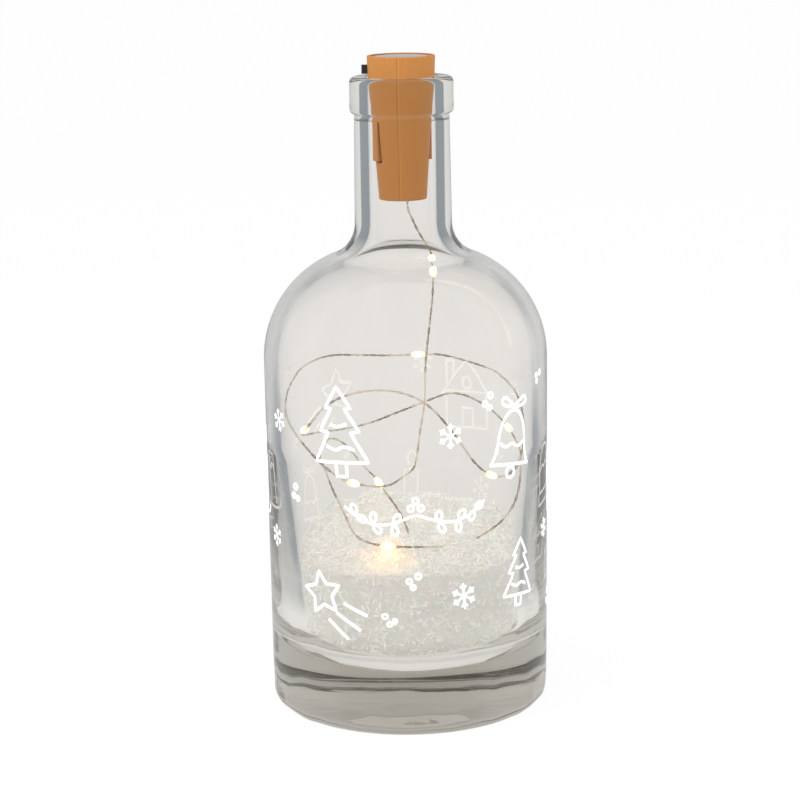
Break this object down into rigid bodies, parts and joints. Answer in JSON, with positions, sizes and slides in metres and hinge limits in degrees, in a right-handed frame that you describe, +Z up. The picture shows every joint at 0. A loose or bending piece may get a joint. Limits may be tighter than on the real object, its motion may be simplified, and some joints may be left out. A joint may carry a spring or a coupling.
{
  "type": "cork bottle light",
  "caption": "Clear glass bottle with a cork-coloured solar lamp plug in its mouth; a thin string of small lamps hangs from the plug and lies in loops over artificial snow.",
  "frame": {"origin": "centre of the bottle's base, on the surface it stands on", "axes": "+Z up along the bottle's axis; the plug's slide switch looks towards -X and the plug's mould seam lies in the YZ plane; the knob slides along Y"},
  "size_m": [0.092, 0.092, 0.2122],
  "materials": {
    "clear_glass": "clear, polished",
    "snow": "loose white flakes",
    "string_wire": "thin lacquered wire pair",
    "clear_resin": "clear resin beads",
    "lamp_chip": "phosphor over the lamp chip",
    "casing": "moulded, cork coloured, fine speckle",
    "knob": "moulded, black",
    "board": "glass fibre board with lacquer",
    "silicon": "dark solar cell strips",
    "solar_resin": "clear resin, slightly domed",
    "chip_case": "moulded black",
    "tinned": "tinned",
    "choke_wire": "lacquered drum with wound wire",
    "steel_can": "plated steel",
    "paper": "white washer",
    "sleeve": "shrunk sleeve, unprinted",
    "nickel": "nickel strip",
    "phenolic": "pressed board",
    "contact_brass": "plated contacts",
    "red_insulation": "insulated lead",
    "black_insulation": "insulated lead",
    "clear_glue": "hot glue"
  },
  "bodies": {
    "bottle": {"glass_bottle": "clear_glass", "snow_fill": "snow", "string_loops": "string_wire", "loop_lamp_beads": "clear_resin", "loop_lamp_chips": "lamp_chip"},
    "stopper": {"casing_switch_side": "casing", "casing_plain_side": "casing", "solar_backing_board": "board", "solar_cells": "silicon", "solar_cover": "solar_resin", "circuit_board": "board", "driver_chip": "chip_case", "driver_chip_legs": "tinned", "choke_coil": "choke_wire", "choke_leads": "tinned", "battery_cell": "steel_can", "battery_cap": "steel_can", "battery_washer": "paper", "battery_sleeve": "sleeve", "battery_tab_positive": "nickel", "battery_tab_negative": "nickel", "switch_can": "steel_can", "switch_base": "phenolic", "switch_terminals": "contact_brass", "solar_lead_red": "red_insulation", "solar_lead_black": "black_insulation", "battery_lead_red": "red_insulation", "battery_lead_black": "black_insulation", "string_tail": "string_wire", "glue_blob": "clear_glue", "string_drop": "string_wire", "top_lamp_bead": "clear_resin", "top_lamp_chip": "lamp_chip"},
    "switch_knob": {"switch_knob": "knob", "switch_slider": "chip_case", "switch_wiper": "contact_brass"}
  },
  "joints": [
    {"name": "plug_pull", "type": "slide", "parent": "bottle", "child": "stopper", "axis": [0, 0, 1], "range_m": [0, 0.04], "deforming": ["string_drop"]},
    {"name": "switch_slide", "type": "slide", "parent": "stopper", "child": "switch_knob", "axis": [0, 1, 0], "range_m": [0, 0.002]}
  ]
}
